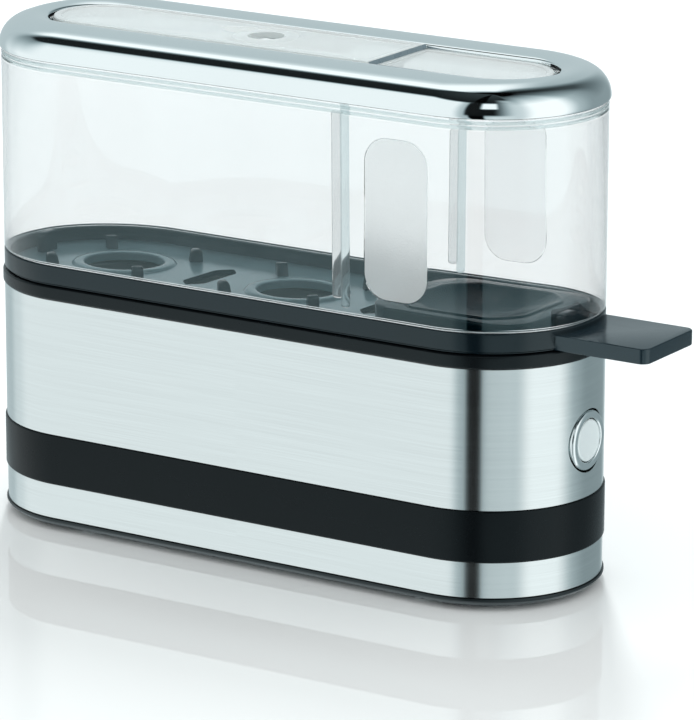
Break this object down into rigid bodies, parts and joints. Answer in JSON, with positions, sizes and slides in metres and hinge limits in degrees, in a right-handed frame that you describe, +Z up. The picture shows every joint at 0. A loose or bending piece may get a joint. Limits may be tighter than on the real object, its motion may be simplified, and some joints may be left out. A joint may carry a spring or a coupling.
{
  "type": "egg cooker",
  "caption": "Slim egg cooker: steel-clad base with a heated water dish, lift-out egg carrier with a flat handle, small loose dish, and a clear cover under a chrome ring.",
  "frame": {"origin": "on the floor plane under the feet, at the middle of the whole box (the body's own middle lies 10.775 mm to the left, because the handle adds length on the right)", "axes": "+X along the body towards the carrier's handle and the push button, +Y towards the rear wall with the cord gland, +Z up"},
  "size_m": [0.19, 0.057, 0.1286],
  "materials": {
    "black_moulding": "fine satin moulding, near black",
    "foot_rubber": "matt black rubber",
    "zinc_steel": "zinc-plated fastener steel",
    "frame_plastic": "heat-resistant black plastic",
    "brushed_steel": "steel brushed along its length",
    "band_plastic": "satin black band",
    "seal_rubber": "grey silicone",
    "dish_steel": "pressed steel, satin",
    "heater_sheath": "dull steel sheath",
    "ceramic": "off-white ceramic beads with steel blades",
    "phenolic": "brown phenolic",
    "clip_steel": "plain bent steel strap",
    "fuse_body": "pale fuse body",
    "block_plastic": "white connector plastic",
    "lead_sleeving": "red-brown silicone sleeving",
    "bezel_metal": "bright satin metal",
    "switch_plastic": "black switch moulding",
    "cap_metal": "pale silver cap",
    "slate_plastic": "dark slate moulding, satin gloss",
    "dish_plastic": "dark glossy moulding",
    "clear_plastic": "clear moulding, grip patches frosted",
    "chrome": "mirror chrome"
  },
  "bodies": {
    "base": {"base_plate": "black_moulding", "feet": "foot_rubber", "base_screws": "zinc_steel", "inner_frame": "frame_plastic", "steel_sleeve": "brushed_steel", "trim_band": "band_plastic", "base_rim": "black_moulding", "dish_seal": "seal_rubber", "water_dish": "dish_steel", "heater_tube": "heater_sheath", "heater_terminals": "ceramic", "thermostat": "phenolic", "thermostat_clip": "clip_steel", "thermal_fuse": "fuse_body", "terminal_block": "block_plastic", "terminal_screws": "zinc_steel", "lead_wires": "lead_sleeving", "cord_gland": "foot_rubber", "button_ring": "bezel_metal", "switch_nut": "zinc_steel", "switch_body": "switch_plastic"},
    "button": {"button_plunger": "switch_plastic", "button_cap": "cap_metal"},
    "carrier": {"egg_carrier": "slate_plastic"},
    "dish": {"loose_dish": "dish_plastic"},
    "cover": {"cover_shell": "clear_plastic", "cover_ring": "chrome"}
  },
  "joints": [
    {"name": "button_press", "type": "slide", "parent": "base", "child": "button", "axis": [-1, 0, 0], "range_m": [0, 0.002], "stiffness_N_per_m": 400, "springref_m": -0.002},
    {"name": "carrier_lift", "type": "slide", "parent": "base", "child": "carrier", "axis": [0, 0, 1], "range_m": [0, 0.06]},
    {"name": "dish_lift", "type": "slide", "parent": "carrier", "child": "dish", "axis": [0, 0, 1], "range_m": [0, 0.045]},
    {"name": "cover_lift", "type": "slide", "parent": "carrier", "child": "cover", "axis": [0, 0, 1], "range_m": [0, 0.08]}
  ]
}
